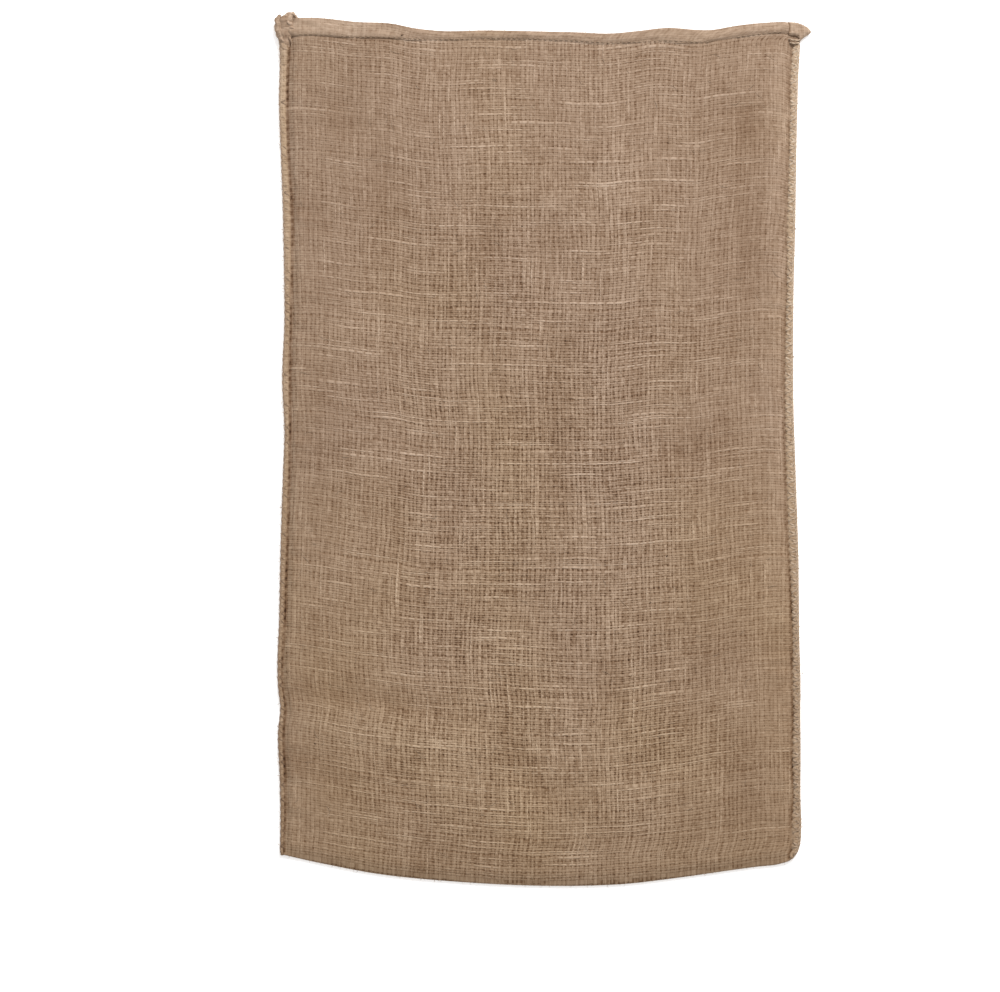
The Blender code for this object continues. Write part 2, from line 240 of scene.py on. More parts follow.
# Broad waves of the front ply: length across x, length along y, phase, height.
WAVES = (
    (410, 900, 0.6, 0.55), (190, 640, 2.1, 0.4), (150, -330, 4, 0.3),
)
UNEVEN = 0.15


def smooth(value):
    held = np.clip(value, 0.0, 1.0)
    return held * held * (3 - 2 * held)


def bell(value):
    return np.exp(-(value**2))


def swell(distance, run):
    return 1 - (1 - np.clip(distance / run, 0.0, 1.0)) ** 2


def along(table, key, column):
    """Reads a table's column at key, on a smooth curve through its rows."""
    rows = np.array(table)
    keys = rows[:, 0]
    values = rows[:, column]
    slopes = np.gradient(values, keys)
    held = np.clip(key, keys[0], keys[-1])
    low = np.clip(np.searchsorted(keys, held, side="right") - 1, 0, len(keys) - 2)
    run = keys[low + 1] - keys[low]
    share = (held - keys[low]) / run
    past = share - 1
    return (
        values[low] * (1 + 2 * share) * past**2
        + slopes[low] * run * share * past**2
        + values[low + 1] * share**2 * (1 - 2 * past)
        + slopes[low + 1] * run * share**2 * past
    )


def undulate(x, y, seed, count, shortest, longest):
    """Soft uneven waves of unit spread, from a seeded set of directions and lengths."""
    draw = np.random.default_rng(seed)
    total = np.zeros(np.broadcast(x, y).shape)
    for _ in range(count):
        length = shortest * (longest / shortest) ** draw.random()
        way = math.tau * draw.random()
        phase = math.tau * draw.random()
        ahead = x * math.cos(way) + y * math.sin(way)
        total += np.sin(math.tau * ahead / length + phase)
    return total * math.sqrt(2 / count)


def left_edge(y):
    return along(LEFT_SEAM, y, 1) + IN_TWINE


def right_edge(y):
    edge = along(RIGHT_SEAM, y, 1) - IN_TWINE
    return edge + (EAR_TIP - edge) * np.clip((y - EAR_ROOT) / EAR_RISE, 0.0, 1.0) ** 1.4


def left_line(y):
    """x of the left seam's stitch line."""
    return along(LEFT_SEAM, y, 1) + along(LEFT_SEAM, y, 2) - ROLL_NARROWER


def right_line(y):
    """x of the right seam's stitch line."""
    return along(RIGHT_SEAM, y, 1) - along(RIGHT_SEAM, y, 2)


def over_hem(y, raw_y):
    return smooth((y - raw_y + 2 + STEP_RUN) / STEP_RUN)


def tuft_lift(y):
    return over_hem(y, MOUTH[0][1] - MOUTH[0][2])


def folds(x, y):
    """Height of the troughs and ridges at points of the front ply."""
    height = np.zeros(np.broadcast(x, y).shape)
    for x0, y0, x1, y1, half_width, size in CREASES:
        run = math.hypot(x1 - x0, y1 - y0)
        way_x = (x1 - x0) / run
        way_y = (y1 - y0) / run
        ahead = (x - x0) * way_x + (y - y0) * way_y
        aside = (x - x0) * way_y - (y - y0) * way_x
        past = np.maximum(np.maximum(-ahead, ahead - run), 0.0)
        height += size * np.exp(-((aside / half_width) ** 2) - (past / half_width) ** 2)
    return height


def relief(x, y):
    """Height of everything that makes the front ply uneven."""
    height = folds(x, y) + UNEVEN * undulate(x, y, 5, 26, 34.0, 120.0)
    for length_x, length_y, phase, size in WAVES:
        height += size * np.sin(math.tau * (x / length_x + y / length_y) + phase)
    return height


def stitch_wave(y, drift):
    """1 at each stitch of a seam and 0 half-way between two."""
    return 0.5 + 0.5 * np.cos(math.tau * y / STITCH + drift * np.sin(y / DRIFT_RUN))


def scallop(y, drift, size):
    """How much narrower than its mean a seam's roll is: most at the stitches."""
    return size * (stitch_wave(y, drift) - 0.5)


class Cloth:
    """Heights of the cloth over a grid of columns, each a share of the way across."""

    def __init__(self, shares):
        self.share = shares
        mouth_x = self.x(np.full(len(shares), MOUTH[-1][1]))
        self.mouth = along(MOUTH, mouth_x, 1)
        self.hem = along(MOUTH, mouth_x, 2)
        self.bottom = along(BOTTOM, self.x(np.full(len(shares), BOTTOM[0][1])), 1)
        self.back_mouth = self.mouth - BACK_SHORT

    def x(self, y):
        held = np.maximum(y, BOTTOM[0][1])
        return left_edge(held) + (right_edge(held) - left_edge(held)) * self.share

    def past_lines(self, y):
        """x, and how far it lies in from the left seam's stitch line and from the right one's."""
        x = self.x(y)
        return x, x - left_line(y), right_line(y) - x

    def by_seams(self, y):
        """1 by the left seam and by the right one, 0 where the back ply lies on the floor."""
        return [1 - smooth((past - FREE_FROM) / BACK_LIFT_RUN) for past in self.past_lines(y)[1:]]

    def back_hem_z(self, y):
        by_left, by_right = self.by_seams(y)
        lift = EDGE_BACK - HALF
        return HALF + lift * by_left + (lift - PITCH) * by_right

    def back_z(self, y):
        by_left, by_right = self.by_seams(y)
        plain = HALF + (EDGE_BACK - HALF) * (by_left + by_right)
        on_hem = self.back_hem_z(y) + PITCH
        return plain + (on_hem - plain) * over_hem(y, self.back_mouth - self.hem)

    def front_z(self, y):
        x, past_left, past_right = self.past_lines(y)
        seated = EDGE_BACK + PITCH + PITCH * tuft_lift(y) * (1 - smooth(self.share * 4))
        short = (
            smooth(past_left / PUFF_RUN)
            * smooth(past_right / PUFF_RUN)
            * smooth((y - self.bottom) / BOTTOM_PUFF_RUN)
        )
        free = (
            swell(past_left - FREE_FROM, SIDE_SWELL)
            * swell(past_right - FREE_FROM, SIDE_SWELL)
            * swell(y - self.bottom, BOTTOM_SWELL)
        )
        top = LOFT - smooth((y - SINK_FROM) / SINK_RUN) + relief(x, y)
        z = seated + PUFF * short + (top - seated - PUFF) * free
        for past, drift, seed in ((past_left, LEFT_DRIFT, 11), (past_right, RIGHT_DRIFT, 12)):
            near = bell(np.maximum(past, 0) / PULL_RUN) * smooth((past + 2) / 3)
            z += (PULL_RISE - PULL_DEPTH * stitch_wave(y, drift)) * near
            fading = np.exp(-np.maximum(past, 0) / PUCKER_RUN) * smooth(past / PUCKER_FROM)
            z += PUCKER * undulate(past * 0.35, y, seed, 12, 14.0, 44.0) * fading
        return z

    def tone(self, y):
        """Painted shade in troughs and seam grooves, painted light on ridges and by the left seam.
        """
        x, past_left, past_right = self.past_lines(y)
        shade = 1 + FOLD_PAINTED_SHADING * folds(x, y)
        # Painted light by the left seam, where the ply slopes away from the lamp.
        shade = shade + LEFT_PAINTED_LIGHT * bell(past_left / LEFT_PAINTED_LIGHT_RUN)
        # Painted shade in each seam's groove by its stitch line, darkest at each stitch hole.
        for past, drift, narrowing, depth in (
            (past_left, LEFT_DRIFT, LEFT_SCALLOP, LEFT_GROOVE_SHADE * (1 - 0.10 * y / 450)),
            (past_right, RIGHT_DRIFT, RIGHT_SCALLOP, RIGHT_GROOVE_SHADE * (1 - 0.40 * y / 450)),
        ):
            past = past + scallop(y, drift, narrowing)
            near = bell((past - GROOVE_SHADE_AT) / GROOVE_SHADE_RUN)
            near *= 1 + 0.25 * undulate(0.0 * x, y, 91, 12, 18.0, 120.0)
            shade = shade - depth * near * (0.55 + 0.60 * stitch_wave(y, drift) ** 2)
        return shade


def turned(y_end, z_from, z_to, way, steps):
    """Rows round a fold whose outside reaches y_end, facing way (+1 or -1)."""
    radius = (z_to - z_from) / 2
    for step in range(steps + 1):
        angle = math.pi * step / steps
        y = y_end - way * (np.abs(radius) + HALF) + way * np.abs(radius) * math.sin(angle)
        yield y, (z_from + z_to) / 2 - radius * math.cos(angle)


def hem_puckers(x, y):
    """Slanting puckers of the hem, deepest beside the left corner."""
    depth = 0.35 + 0.95 * bell((x - left_edge(y)) / 20.0)
    return depth * undulate(x + 0.9 * y, y, 41, 14, 9.0, 40.0)


BACK_HEM_ROWS = 7
MOUTH_TURN_ROWS = 6
MOUTH_TURN_PITCH = 0.3
MOUTH_DULL = 0.92
BACK_STEP_ROWS = 8
BACK_ROWS = 22
FOLD_ROWS = 8
FOLD_PITCH = 0.55
FRONT_ROWS = 432
HEM_ROWS = 14
HEM_PUFF = 0.6
HEM_DIP = 1.45


def cloth_rows(cloth):
    """Rows of the cloth as (y, z, v, tone): back hem, back ply, front ply, front hem."""
    even = np.ones(len(cloth.share))
    raw = cloth.back_mouth - cloth.hem
    turn = cloth.back_mouth - TURN - HALF
    hem_v = -FRONT_LENGTH
    for step in range(BACK_HEM_ROWS):
        down = step / BACK_HEM_ROWS
        y = raw + (turn - raw) * down
        yield y, cloth.back_hem_z(y), hem_v - cloth.hem * (1 - down), even
    hem_z = cloth.back_hem_z(turn)
    for y, z in turned(cloth.back_mouth, hem_z, cloth.back_z(turn), 1, MOUTH_TURN_ROWS):
        yield y, z, hem_v * even, even
    fold_low = cloth.back_z(cloth.bottom)
    fold_high = cloth.front_z(cloth.bottom)
    fold = cloth.bottom + HALF + (fold_high - fold_low) / 2
    foot = raw - 2 - STEP_RUN
    back = [turn + (foot - turn) * step / BACK_STEP_ROWS for step in range(1, BACK_STEP_ROWS + 1)]
    back += [foot + (fold - foot) * step / BACK_ROWS for step in range(1, BACK_ROWS)]
    for y in back:
        yield y, cloth.back_z(y), -FRONT_LENGTH * (y - fold) / (turn - fold), even
    for step, (y, z) in enumerate(turned(cloth.bottom, fold_low, fold_high, -1, FOLD_ROWS)):
        yield y, z, (step - FOLD_ROWS / 2) * FOLD_PITCH * even, even
    turn = cloth.mouth - TURN - HALF
    raw = cloth.mouth - cloth.hem
    for step in range(1, FRONT_ROWS):
        y = fold + (turn - fold) * step / FRONT_ROWS
        # Painted light just below the hem's raw edge, most where that edge is matted in and shows
        # faintly.
        plain = along(HEM_LINE, cloth.x(y), 1)
        by_hem = bell((y - raw + 0.4) / 1.6)
        under_hem_shading = (0.40 * plain - 0.42) * by_hem
        yield (
            y,
            cloth.front_z(y),
            FRONT_LENGTH * step / FRONT_ROWS * even,
            cloth.tone(y) * (1 - under_hem_shading),
        )
    low = cloth.front_z(turn)
    for step, (y, z) in enumerate(turned(cloth.mouth, low, low + PITCH, 1, MOUTH_TURN_ROWS)):
        v = FRONT_LENGTH + (step - MOUTH_TURN_ROWS / 2) * MOUTH_TURN_PITCH * even
        yield y, z, v, MOUTH_DULL * along(HEM_LINE, cloth.x(y), 2)
    for step in range(1, HEM_ROWS + 1):
        down = step / HEM_ROWS
        y = turn + (raw - turn) * down
        puff = HEM_PUFF * math.sin(math.pi * min(down * 1.12, 1.0)) ** 0.7
        # By its raw edge the hem dips to the front ply, from further off where it is matted in,
        # and its edge has painted shade where it shows plainly, painted light where matted in.
        to_raw = cloth.hem * (1 - down)
        plain = along(HEM_LINE, cloth.x(y), 1)
        dip = HEM_DIP * smooth(1 - to_raw / (3.6 + 7.0 * np.clip(1 - plain, 0.0, 1.0)))
        hem_tone = along(HEM_LINE, cloth.x(y), 2)
        yield (
            y,
            cloth.front_z(y) + PITCH + puff - dip + hem_puckers(cloth.x(y), y),
            FRONT_LENGTH + cloth.hem * down,
            hem_tone * (1 + (0.30 - 0.56 * plain) * smooth(1 - to_raw / 2.4)),
        )


# Columns of the cloth: close together by the seams, from the cloth's edge inwards.
EDGE_STEPS = (
    0, 2, 4, 5.5, 7, 8.5, 10, 11.5, 13, 15, 17.5, 20.5, 24, 28, 33, 39, 46, 54, 63, 73,
)
MIDDLE_STEP = 8.6
HEM_WORN = 0.6
width = float(right_edge(0.0) - left_edge(0.0))
sides = np.array(EDGE_STEPS) / width
count = round((1 - 2 * sides[-1]) * width / MIDDLE_STEP)
middle = np.linspace(sides[-1], 1 - sides[-1], count + 1)[1:-1]
cloth = Cloth(np.concatenate([sides, middle, 1 - sides[::-1]]))
rows = list(cloth_rows(cloth))
columns = len(cloth.share)
points = np.stack([np.stack([cloth.x(y), y, z], axis=1) * MM for y, z, v, tone in rows])
# Place of each point in the flat cloth, where the yarns wander a little.
WANDER_ACROSS = 1.0
WANDER_ALONG = 0.8
across = (cloth.share - 0.5) * CLOTH_WIDTH
layout = []
for y, z, v, tone in rows:
    aside = across + WANDER_ACROSS * undulate(across, v, 31, 22, 140.0, 600.0)
    ahead = v + WANDER_ALONG * undulate(across, v, 32, 22, 120.0, 500.0)
    layout.append(np.stack([aside, ahead], axis=1) * MM)
layout = np.stack(layout)
tones = np.stack([tone for y, z, v, tone in rows])


def grid_faces(row_count, column_count):
    """Quads of a grid of points, row by row."""
    low = np.arange(row_count - 1)[:, None] * column_count + np.arange(column_count - 1)
    quads = np.stack([low, low + 1, low + column_count + 1, low + column_count], axis=-1)
    return quads.reshape(-1, 4)


def mesh_object(name, points, faces, uvs, shades, worn=None):
    """An object of these points, with each face corner's place in the pattern and a shade."""
    mesh = bpy.data.meshes.new(name)
    mesh.from_pydata(points.reshape(-1, 3).tolist(), [], faces)
    layer = mesh.uv_layers.new(name="pattern")
    layer.data.foreach_set("uv", np.asarray(uvs, np.float32).ravel())
    shade = mesh.attributes.new("tone", "FLOAT", "POINT")
    shade.data.foreach_set("value", shades.astype(np.float32).ravel())
    if worn is not None:
        felted = mesh.attributes.new("worn", "FLOAT", "POINT")
        felted.data.foreach_set("value", np.broadcast_to(worn, shades.size).astype(np.float32))
    mesh.shade_smooth()
    return placed(name, mesh)


def apply_modifiers(made):
    bpy.ops.object.select_all(action="DESELECT")
    made.select_set(True)
    bpy.context.view_layer.objects.active = made
    for modifier in list(made.modifiers):
        bpy.ops.object.modifier_apply(modifier=modifier.name)
    made.select_set(False)


cloth_faces = grid_faces(len(rows), columns)
cloth_uvs = layout.reshape(-1, 2)[cloth_faces]
worn = np.stack([HEM_WORN * (v > FRONT_LENGTH) for y, z, v, tone in rows]).ravel()
sack_cloth = mesh_object("hessian_cloth", points, cloth_faces.tolist(), cloth_uvs, tones, worn)
thicken = sack_cloth.modifiers.new("thickness", "SOLIDIFY")
thicken.thickness = CLOTH_THICK * MM
thicken.offset = 0.0
thicken.use_quality_normals = True
apply_modifiers(sack_cloth)


class Finish:
    """A material being put together: each call adds one node and gives back its output."""

    def __init__(self, name, roughness):
        self.made = bpy.data.materials.new(name)
        self.made.use_nodes = True
        self.tree = self.made.node_tree
        self.shader = self.tree.nodes["Principled BSDF"]
        looks = {"Roughness": roughness, "Specular IOR Level": JUTE_SPECULAR}
        set_inputs(self.shader, looks)

    def node(self, kind, inputs, output=0, **settings):
        made = self.tree.nodes.new(kind)
        for key, value in settings.items():
            setattr(made, key, value)
        for key, value in inputs.items():
            if isinstance(value, bpy.types.NodeSocket):
                self.tree.links.new(value, made.inputs[key])
            else:
                made.inputs[key].default_value = value
        return made.outputs[output]

    def pattern(self):
        """The two places of a point in the pattern."""
        place = self.node("ShaderNodeUVMap", {}, uv_map="pattern")
        first = self.node("ShaderNodeSeparateXYZ", {"Vector": place})
        return first, first.node.outputs[1]

    def stored(self, name):
        """A value that the mesh holds at each point."""
        return self.node("ShaderNodeAttribute", {}, output=2, attribute_name=name)

    def calc(self, operation, *values):
        return self.node("ShaderNodeMath", dict(enumerate(values)), operation=operation)

    def times(self, first, second):
        return self.calc("MULTIPLY", first, second)

    def plus(self, base, *terms):
        """base, plus each term's value times its share."""
        for value, share in terms:
            base = self.calc("MULTIPLY_ADD", value, share, base)
        return base

    def mix(self, share, low, high):
        """low + (high - low) * share."""
        return self.calc("ADD", low, self.times(self.calc("SUBTRACT", high, low), share))

    def ease(self, value, start, end):
        """0 at start and 1 at end."""
        inputs = {"Value": value, "From Min": start, "From Max": end}
        return self.node("ShaderNodeMapRange", inputs, interpolation_type="SMOOTHSTEP")

    def hump(self, at):
        """0 at both edges of a yarn or ply and 1 along its middle."""
        return self.times(self.times(at, 4.0), self.calc("SUBTRACT", 1.0, at))

    def noise(self, x, x_scale, y, y_scale, detail=0.0):
        """Soft noise about 0 over two values, mostly within -1 to 1."""
        at = {"X": self.times(x, x_scale), "Y": self.times(y, y_scale)}
        at = self.node("ShaderNodeCombineXYZ", at)
        inputs = {"Vector": at, "Scale": 1.0, "Detail": detail}
        fac = self.node("ShaderNodeTexNoise", inputs, noise_dimensions="2D")
        return self.plus(-NOISE_SPREAD / 2, (fac, NOISE_SPREAD))

    def noise_line(self, value, scale):
        """The same along one line."""
        inputs = {"W": value, "Scale": scale, "Detail": 0.0}
        fac = self.node("ShaderNodeTexNoise", inputs, noise_dimensions="1D")
        return self.plus(-NOISE_SPREAD / 2, (fac, NOISE_SPREAD))

    def finish(self, shade, height, depth, strength, colours, yellowed=0.0):
        """Colour by shade, where 1 is the middle colour, and relief of depth metres."""
        ramp = self.tree.nodes.new("ShaderNodeValToRGB")
        self.tree.links.new(self.times(shade, 0.5), ramp.inputs[0])
        elements = ramp.color_ramp.elements
        for place, colour in colours[2:]:
            elements.new(place / 2)
        for element, (place, colour) in zip(elements, colours):
            element.position = place / 2
            element.color = (*colour, 1)
        inputs = {0: yellowed, 6: ramp.outputs[0], 7: YELLOWED}
        mixing = {"data_type": "RGBA", "blend_type": "MULTIPLY"}
        tint = self.node("ShaderNodeMix", inputs, output=2, **mixing)
        self.tree.links.new(tint, self.shader.inputs["Base Color"])
        inputs = {"Strength": strength, "Distance": depth, "Height": height}
        self.tree.links.new(self.node("ShaderNodeBump", inputs), self.shader.inputs["Normal"])
        return self.made


JUTE_SPECULAR = 0.15
NOISE_SPREAD = 3.2
# What turns the jute yellower, multiplied with its colour.
YELLOWED = (1.0, 0.97, 0.80, 1.0)
# From one pair of warp yarns to the next, and from one weft yarn to the next, in metres.
PAIR = 0.00522
WEFT = 0.00312
# Colours of the jute from its darkest hollows to its palest fibres, by shade.
JUTE = (
    (0.0, (0.034, 0.014, 0.006)),
    (0.5, (0.144, 0.080, 0.044)),
    (1.0, (0.250, 0.165, 0.109)),
    (1.6, (0.378, 0.272, 0.196)),
    (2.0, (0.450, 0.335, 0.250)),
)


def hessian(name):
    """Paired warp yarns under and over single weft yarns, uneven, with slubs and open corners."""
    finish = Finish(name, 0.92)
    plus, times, ease, calc = finish.plus, finish.times, finish.ease, finish.calc
    u, v = finish.pattern()
    tone = finish.stored("tone")

    def patches(per_metre_across, per_metre_along, detail=0.0):
        """Noise over the cloth, with this many waves a metre each way."""
        return finish.noise(u, per_metre_across, v, per_metre_along, detail)

    def cover(at, gap):
        """0 in the gap beside a yarn and 1 on it."""
        from_edge = calc("MINIMUM", at, calc("SUBTRACT", 1.0, at))
        gap = calc("MAXIMUM", gap, 0.02)
        return ease(from_edge, times(gap, 0.3), gap)

    # Where each yarn runs: uneven spacing, and a little to and fro along it.
    warp = plus(400.0, (u, 1 / PAIR))
    warp = plus(warp, (finish.noise_line(warp, 0.43), 0.18), (patches(60.0, 44.0), 0.10))
    weft = plus(800.0, (v, 1 / WEFT))
    weft = plus(weft, (finish.noise_line(weft, 0.39), 0.29), (patches(34.0, 84.0), 0.17))
    pair_at = calc("FRACT", warp)
    weft_at = calc("FRACT", weft)
    yarn = calc("FLOOR", times(warp, 2.0))
    yarn_at = calc("FRACT", times(warp, 2.0))
    pick = calc("FLOOR", weft)

    # Shade and thickness of each yarn, which change slowly along it, and its slubs.
    warp_own = finish.noise(yarn, 7.37, v, 13.0, 1.0)
    weft_own = finish.noise(u, 22.0, pick, 5.71, 1.0)
    slub = ease(finish.noise(u, 11.0, pick, 9.13), 0.48, 0.95)
    slub = times(slub, calc("POWER", finish.hump(weft_at), 1.5))
    warp_slub = ease(finish.noise(yarn, 3.91, v, 16.0), 0.66, 1.10)
    warp_slub = times(warp_slub, finish.hump(yarn_at))

    # Gaps between the yarns: each corner opens by its own amount, and picks lie in loose pairs.
    mood = patches(36.0, 40.0, 1.0)
    corner = patches(170.0, 250.0)
    from_middle = calc("ABSOLUTE", u)
    low_down = ease(v, 0.98, 0.62)
    off_the_seams = ease(from_middle, 0.285, 0.20)
    openness = plus(patches(9.0, 12.0, 1.0), (low_down, 0.8), (off_the_seams, 0.7))
    openness = calc("SUBTRACT", openness, 1.1)
    pairing = calc("COSINE", times(weft, math.pi))
    pairing = times(pairing, ease(patches(20.0, 26.0), -0.9, 0.5))
    gap = plus(0.215, (warp_own, -0.06), (corner, 0.11), (openness, 0.08))
    warp_cover = cover(pair_at, gap)
    gap = plus(0.18, (calc("ADD", weft_own, slub), -0.07))
    gap = plus(gap, (corner, 0.16), (openness, 0.11), (pairing, 0.25))
    weft_cover = cover(weft_at, gap)

    # Heights of both yarns, of which the higher one shows.
    over = times(calc("SINE", times(warp, math.pi)), calc("SINE", times(weft, math.pi)))
    warp_high = plus(0.56, (finish.hump(yarn_at), 0.20), (mood, 0.11))
    warp_high = plus(warp_high, (warp_slub, 0.35), (over, 0.38))
    warp_high = times(warp_high, warp_cover)
    weft_high = plus(0.57, (finish.hump(weft_at), 0.20), (mood, -0.11))
    weft_high = plus(weft_high, (slub, 0.55), (over, -0.38))
    weft_high = times(weft_high, weft_cover)
    height = calc("MAXIMUM", warp_high, weft_high)
    on_top = ease(calc("SUBTRACT", weft_high, warp_high), -0.12, 0.12)

    # Shade: each yarn's own, painted shade where yarns lie low, fibres, streaks and broad patches.
    warp_shade = plus(1.04, (warp_own, 0.28), (warp_slub, 0.22))
    weft_shade = plus(1.04, (weft_own, 0.25), (slub, 0.31))
    shade = finish.mix(on_top, warp_shade, weft_shade)
    shade = times(shade, plus(0.48, (ease(height, 0.0, 1.15), 0.74)))
    fibre = patches(290.0, 290.0, 1.0)
    pair_own = finish.noise(calc("FLOOR", warp), 6.13, v, 8.0)
    shade = plus(shade, (fibre, 0.15), (patches(430.0, 60.0), 0.17), (pair_own, 0.03))
    for patch, share in ((patches(50.0, 50.0, 1.0), 0.03), (patches(26.0, 4.0, 1.0), 0.035)):
        shade = times(shade, plus(1.0, (patch, share)))

    # The weave is crispest in the middle of the sack, and matted towards its seams and ends.
    along_it = times(ease(v, 0.98, 0.45), ease(v, 0.0, 0.14))
    clarity = plus(0.20, (along_it, 0.30))
    clarity = plus(0.70, (clarity, ease(from_middle, 0.29, 0.08)))
    shade = finish.mix(clarity, 0.93, shade)
    worn = finish.stored("worn")
    shade = finish.mix(worn, shade, 1.0)
    matted = times(worn, patches(130.0, 190.0, 1.0))
    shade = times(plus(shade, (matted, 0.30)), tone)
    relief_height = plus(height, (fibre, 0.10))
    relief_height = finish.mix(times(worn, 0.6), relief_height, 0.6)
    relief_height = times(relief_height, clarity)
    yellowed = plus(0.02, (ease(v, 0.9, 0.0), 0.45), (patches(7.0, 5.0, 1.0), 0.22))
    return finish.finish(shade, relief_height, 0.0006, 0.9, JUTE, yellowed)


hessian_finish = hessian("jute_hessian")
sack_cloth.data.materials.append(hessian_finish)
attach(sack_cloth, "root")
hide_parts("sack_cloth")

# ------------------------------------------------------------------ side seams
# Each side is closed by overhead stitching: the two plies' edges are rolled together, and jute
# twine passes through the sack at every stitch and zigzags over the roll, above and below, to a
# cord of its own loops along the edge. The right seam's twine is thick and pale, and the left
# one's is thin and sinks into the roll.
SLOT_LOW = 1.5
SLOT_HEIGHT = 3.3
TWINE_WALL = 1.5
# The roll stays this far under the height that its twine reaches.
UNDER_TWINE = 0.3
ROLL_POINTS = 20
ROLL_STEPS = 8
ROLL_SHARPNESS = 2 / 2.5
ROLL_GIRTH = 0.026
ROLL_WORN = 0.55
# Each roll starts with three smaller rings: their share of the full size, and the way past it.
ROLL_END = ((0.35, 1.0), (0.68, 0.8), (0.90, 0.5))
SHOULDER = 0.26
SHOULDER_FROM = 0.45
ZIGZAG_STEPS = 14
ZIGZAG_SEED = 81
# How much the twine's turns differ in lean, reach, depth, thickness and shade.
LEAN_SPREAD = 0.22
REACH_SPREAD = 1.6
DEPTH_SPREAD = 0.7
THICKNESS = (0.86, 0.28)
TWINE_SHADE = (0.86, 0.22)
# Where it goes in at a stitch it dips by 1.5 mm.
HOLE_DIP = 1.5
HOLE_RUN = 0.30
CORD_BEAT = (0.5, 0.3)


def stitches(low, high, drift):
    """y of every stitch hole from low to high."""
    holes = np.arange(math.ceil(low / STITCH) - 1, math.floor(high / STITCH) + 2) * 1.0
    y = holes * STITCH
    for _ in range(6):
        y = STITCH * (holes - drift * np.sin(y / DRIFT_RUN) / math.tau)
    return y[(y > low) & (y < high)]


def loft(name, rings, turns, lengths, shades, worn=0.0):
    """A closed solid through rings of equally many points, both ends capped."""
    count = len(rings[0])
    around = range(count)
    last = len(rings) - 1
    faces = []
    uvs = []
    for low in range(last):
        for step in around:
            after = (step + 1) % count
            low_row = low * count
            high_row = low_row + count
            faces.append((low_row + step, low_row + after, high_row + after, high_row + step))
            for row, column in ((low, step), (low, step + 1), (low + 1, step + 1), (low + 1, step)):
                uvs.append((turns[column], lengths[row]))
    faces.append(tuple(around)[::-1])
    uvs += [(turns[step], lengths[0]) for step in around][::-1]
    faces.append(tuple(last * count + step for step in around))
    uvs += [(turns[step], lengths[-1]) for step in around]
    return mesh_object(name, np.array(rings) * MM, faces, uvs, shades, worn)


def tube(name, path, radii, sides, shades, rough=0.0, girth=1.0, start=0.0, worn=0.0):
    """A strand along a path of points, its pattern in turns round it and metres along it."""
    path = np.array(path, float)
    radii = np.broadcast_to(radii, len(path))
    ways = np.gradient(path, axis=0)
    ways /= np.linalg.norm(ways, axis=1)[:, None]
    side = np.cross(ways[0], (0.0, 0.0, 1.0))
    side = np.cross(ways[0], (1.0, 0.0, 0.0)) if np.linalg.norm(side) < 0.1 else side
    steps = np.linalg.norm(np.diff(path, axis=0), axis=1)
    lengths = np.concatenate([[0.0], np.cumsum(steps)])
    turn = np.arange(sides) * math.tau / sides
    across = np.cos(turn)
    rise = np.sin(turn)
    swollen = np.ones((len(path), sides))
    if rough:
        round_it = 2 * np.outer(radii, across)
        along_it = lengths[:, None] + np.outer(radii, rise)
        swollen += rough * undulate(round_it, along_it, 71, 14, 5.0, 18.0)
    rings = []
    for point, way, radius, swell_by in zip(path, ways, radii, swollen):
        side = side - way * np.dot(side, way)
        side = side / np.linalg.norm(side)
        up = np.cross(side, way)
        outwards = np.outer(across, side) + np.outer(rise, up)
        rings.append(point + radius * swell_by[:, None] * outwards)
    rings = np.array(rings)
    rings[..., 2] = np.maximum(rings[..., 2], 0.0)
    lengths = start + lengths * MM
    shades = np.repeat(np.broadcast_to(shades, len(path)), sides)
    return loft(name, rings, np.arange(sides + 1) * girth / sides, lengths, shades, worn)


def shoulder(inward, start):
    """How much lower the roll is at a share of the way in from its outer edge."""
    return 1 - SHOULDER * smooth((inward - start) / (1 - start))


def roll_section(outer, inner, height, bulge, shoulder_from=SHOULDER_FROM):
    """Closed ring of the roll at (x, z): rounded outside, with a low shoulder by the cloth."""
    turn = np.arange(ROLL_POINTS) * math.tau / ROLL_POINTS
    across = np.sign(np.cos(turn)) * np.abs(np.cos(turn)) ** ROLL_SHARPNESS
    rise = np.sign(np.sin(turn)) * np.abs(np.sin(turn)) ** ROLL_SHARPNESS
    x = (outer + inner) / 2 + (outer - inner) / 2 * across
    z = height / 2 * (1 + rise) + bulge * np.maximum(rise, 0)
    z *= np.where(rise > 0, shoulder((1 - across) / 2, shoulder_from), 1.0)
    return x, np.maximum(z, 0.0)


def roll_top(inward, height, shoulder_from):
    """Height of the roll's top at a share of the way in from its outer edge."""
    past = np.clip(np.abs(inward * 2 - 1), 0, 1)
    top = height / 2 * (1 + (1 - past ** (2 / ROLL_SHARPNESS)) ** (ROLL_SHARPNESS / 2))
    return top * shoulder(inward, shoulder_from)


